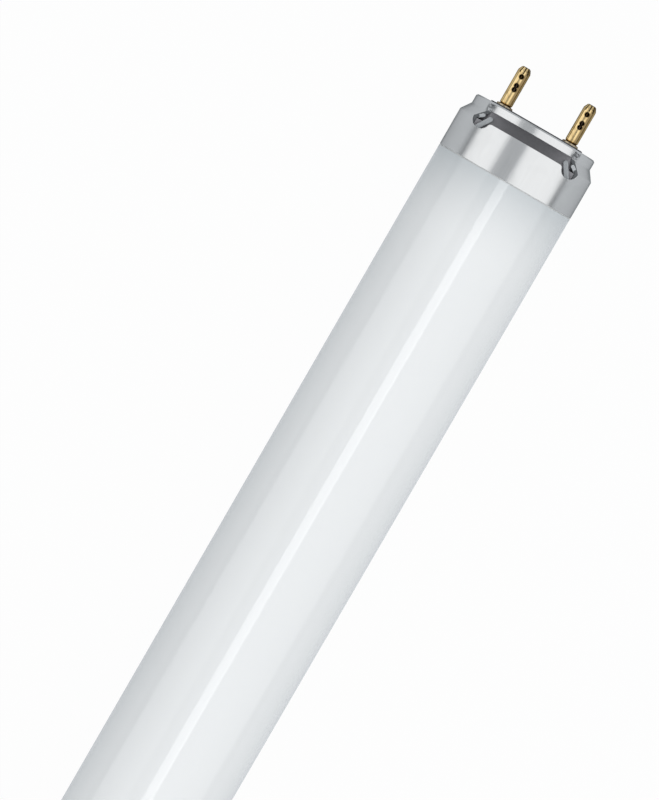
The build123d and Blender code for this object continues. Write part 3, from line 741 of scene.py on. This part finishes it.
def floor():
    half, low = FLOOR_SIZE / 2, -TUBE_R
    mesh = bpy.data.meshes.new("studio_floor")
    corners = [(-half, -half, low), (half, -half, low), (half, half, low), (-half, half, low)]
    mesh.from_pydata(corners, [], [(0, 1, 2, 3)])
    mesh.materials.append(floor_finish())
    plane = bpy.data.objects.new("studio_floor", mesh)
    bpy.context.scene.collection.objects.link(plane)


def world_light():
    """Even room, white to the camera, pale in gloss and dim there near the horizon."""
    world = bpy.data.worlds.new("studio_room")
    bpy.context.scene.world = world
    world.use_nodes = True
    tree = world.node_tree
    tree.nodes.clear()
    room = put(tree, "ShaderNodeBackground", {"Color": ROOM_COLOR, "Strength": WORLD_LIGHT})
    direction = put(tree, "ShaderNodeTexCoord").outputs["Generated"]
    height = put(tree, "ShaderNodeSeparateXYZ", {0: direction}).outputs["Z"]
    plain = remap(tree, height, *HORIZON_BAND, HORIZON_DIM, 1.0)
    color, share = studio_white(tree, 1.0, calc(tree, "MULTIPLY", plain, ROOM_IN_GLOSS))
    white = put(tree, "ShaderNodeBackground", {"Color": color, "Strength": 1.0})
    mixed = put(tree, "ShaderNodeMixShader", {0: share, 1: room.outputs[0], 2: white.outputs[0]})
    put(tree, "ShaderNodeOutputWorld", {"Surface": mixed.outputs[0]})


def keep_to(light, node):
    """Lets a light show on one node alone, and only as a highlight."""
    lit = bpy.data.collections.new(light.name + "_falls_on")
    lit.objects.link(frame["nodes"][node])
    light.light_linking.receiver_collection = lit
    light.visible_diffuse = False


def lamp(name, from_angle, to_angle, brightness, in_gloss, only_node):
    """Long lamp over the tube that fills the directions between two angles, seen from the tube."""
    middle = math.radians((from_angle + to_angle) / 2)
    half_width = math.tan(math.radians(to_angle - from_angle) / 2) * LAMP_DISTANCE
    data = bpy.data.lights.new(name, "AREA")
    data.shape = "RECTANGLE"
    data.size, data.size_y = LAMP_LENGTH, 2 * half_width
    data.energy = LAMP_WATTS * brightness * data.size * data.size_y
    light = bpy.data.objects.new(name, data)
    light.matrix_world = Matrix.Rotation(middle, 4, "X") @ Matrix.Translation((0, 0, LAMP_DISTANCE))
    light.visible_camera = False
    light.visible_glossy = in_gloss
    bpy.context.scene.collection.objects.link(light)
    if only_node:
        keep_to(light, only_node)


def camera_at_photo():
    """Camera straight over the right cap's rim, turned until the rim and the axis lie as in the photograph."""
    to_rim = Vector((RIM_PIXEL[0] - PHOTO_MIDDLE[0], PHOTO_MIDDLE[1] - RIM_PIXEL[1], -FOCAL_PIXELS))
    to_rim.normalize()
    along = Vector((math.sin(AXIS_LEAN), math.cos(AXIS_LEAN), 0))
    along = (along - along.project(to_rim)).normalized()
    up = -to_rim
    turn = Matrix((along, up.cross(along), up))
    data = bpy.data.cameras.new("photo_camera")
    data.sensor_width = SENSOR
    data.lens = SENSOR * FOCAL_PIXELS / PHOTO_HEIGHT
    data.clip_start, data.clip_end = CLIP
    camera = bpy.data.objects.new("photo_camera", data)
    camera.matrix_world = Matrix.Translation((RIM_X, 0, RIM_DISTANCE)) @ turn.to_4x4()
    bpy.context.scene.collection.objects.link(camera)
    bpy.context.scene.camera = camera


def studio():
    bpy.context.scene.view_settings.view_transform = "Standard"
    floor()
    world_light()
    for name, sizes in LAMPS.items():
        lamp(name, *sizes)
    camera_at_photo()


def main():
    finishes = dress()
    joint_bead(finishes["cement"])
    led_windows(finishes["phosphor"])
    choke_turns(finishes["winding"])
    solder_joints(finishes["tinned_copper"])
    studio()


main()
